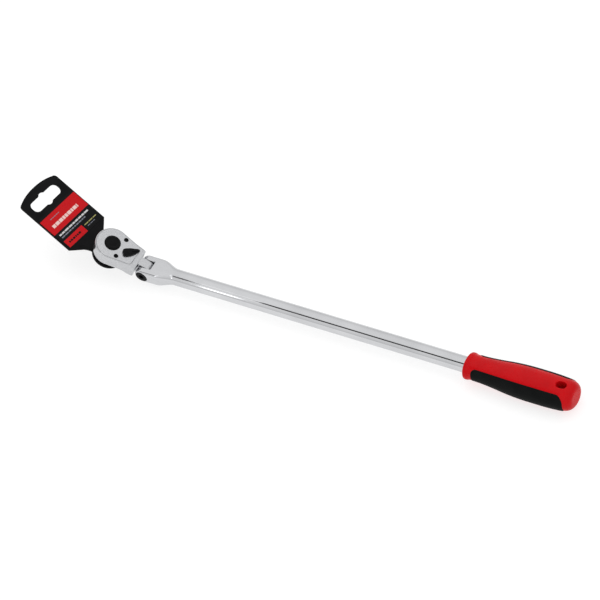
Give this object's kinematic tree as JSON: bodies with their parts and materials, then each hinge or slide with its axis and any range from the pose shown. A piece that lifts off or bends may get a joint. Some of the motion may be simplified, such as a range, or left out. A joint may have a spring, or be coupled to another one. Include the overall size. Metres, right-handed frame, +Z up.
{
  "type": "flexible-head ratchet wrench",
  "caption": "Long-reach ratchet wrench with a hinged quick-release head, a 3/8 inch square drive, a two-colour grip and a slotted hang tag on the drive.",
  "frame": {"origin": "centre of the end face of the square drive", "axes": "+X along the handle towards the grip, +Z up, out of the side that holds the button and the direction lever, so +Y is left"},
  "size_m": [0.5186, 0.0551, 0.0547],
  "materials": {
    "chrome": "polished chrome plate",
    "satin_chrome": "satin chrome plate",
    "steel": "oiled machined steel",
    "black_oxide": "black oxide",
    "black_plastic": "semi-gloss moulded plastic",
    "red_plastic": "glossy moulded plastic",
    "black_rubber": "matt soft rubber",
    "seal_rubber": "matt rubber",
    "tag_plastic": "fine-grained moulded plastic",
    "tag_print": "glossy printed label"
  },
  "bodies": {
    "handle": {"handle_shaft": "chrome", "grip_core": "red_plastic", "grip_panel_left": "black_rubber", "grip_panel_right": "black_rubber", "flex_pivot_screw": "black_oxide", "flex_detent_ball": "steel", "flex_detent_spring": "steel"},
    "head": {"head_body": "satin_chrome", "cover_plate": "satin_chrome", "cover_screw_left": "black_oxide", "cover_screw_right": "black_oxide", "pawl_pin": "steel", "gear_washer": "steel", "lever_seal": "seal_rubber"},
    "drive": {"drive_anvil": "satin_chrome", "release_spring": "steel"},
    "release": {"release_button": "black_plastic", "release_rod": "steel"},
    "socket_ball": {"socket_detent_ball": "steel"},
    "lever": {"direction_lever": "black_plastic", "lever_ball": "steel", "lever_spring": "steel"},
    "pawl": {"pawl": "steel"},
    "tag": {"hang_tag": "tag_plastic", "tag_label": "tag_print"}
  },
  "joints": [
    {"name": "head_flex", "type": "hinge", "parent": "handle", "child": "head", "pos_m": [0.03993, 0, 0.004], "axis": [0, 1, 0], "range_deg": [-115, 65]},
    {"name": "drive_spin", "type": "hinge", "parent": "head", "child": "drive", "pos_m": [0.00866, 0, 0.01858], "axis": [0.4226, 0, 0.9063], "continuous": true},
    {"name": "release_press", "type": "slide", "parent": "drive", "child": "release", "axis": [-0.4226, 0, -0.9063], "range_m": [0, 0.003], "stiffness_N_per_m": 800, "springref_m": -0.001, "deforming": ["release_spring"]},
    {"name": "socket_ball_retract", "type": "slide", "parent": "drive", "child": "socket_ball", "axis": [-0.9063, 0, 0.4226], "range_m": [0, 0.0009]},
    {"name": "direction_flip", "type": "hinge", "parent": "head", "child": "lever", "pos_m": [0.02655, 0, 0.01907], "axis": [0.4226, 0, 0.9063], "range_deg": [-82, 0]},
    {"name": "pawl_rock", "type": "hinge", "parent": "head", "child": "pawl", "pos_m": [0.01881, 0, 0.01385], "axis": [0.4226, 0, 0.9063], "range_deg": [0, 8]},
    {"name": "tag_swivel", "type": "hinge", "parent": "head", "child": "tag", "pos_m": [0.00444, 0, 0.00952], "axis": [0.4226, 0, 0.9063], "range_deg": [-78, 102]}
  ],
  "couplings": [
    {"joint": "pawl_rock", "follows": "direction_flip", "ratio": -0.097561},
    {"joint": "socket_ball_retract", "follows": "release_press", "ratio": 0.3}
  ]
}
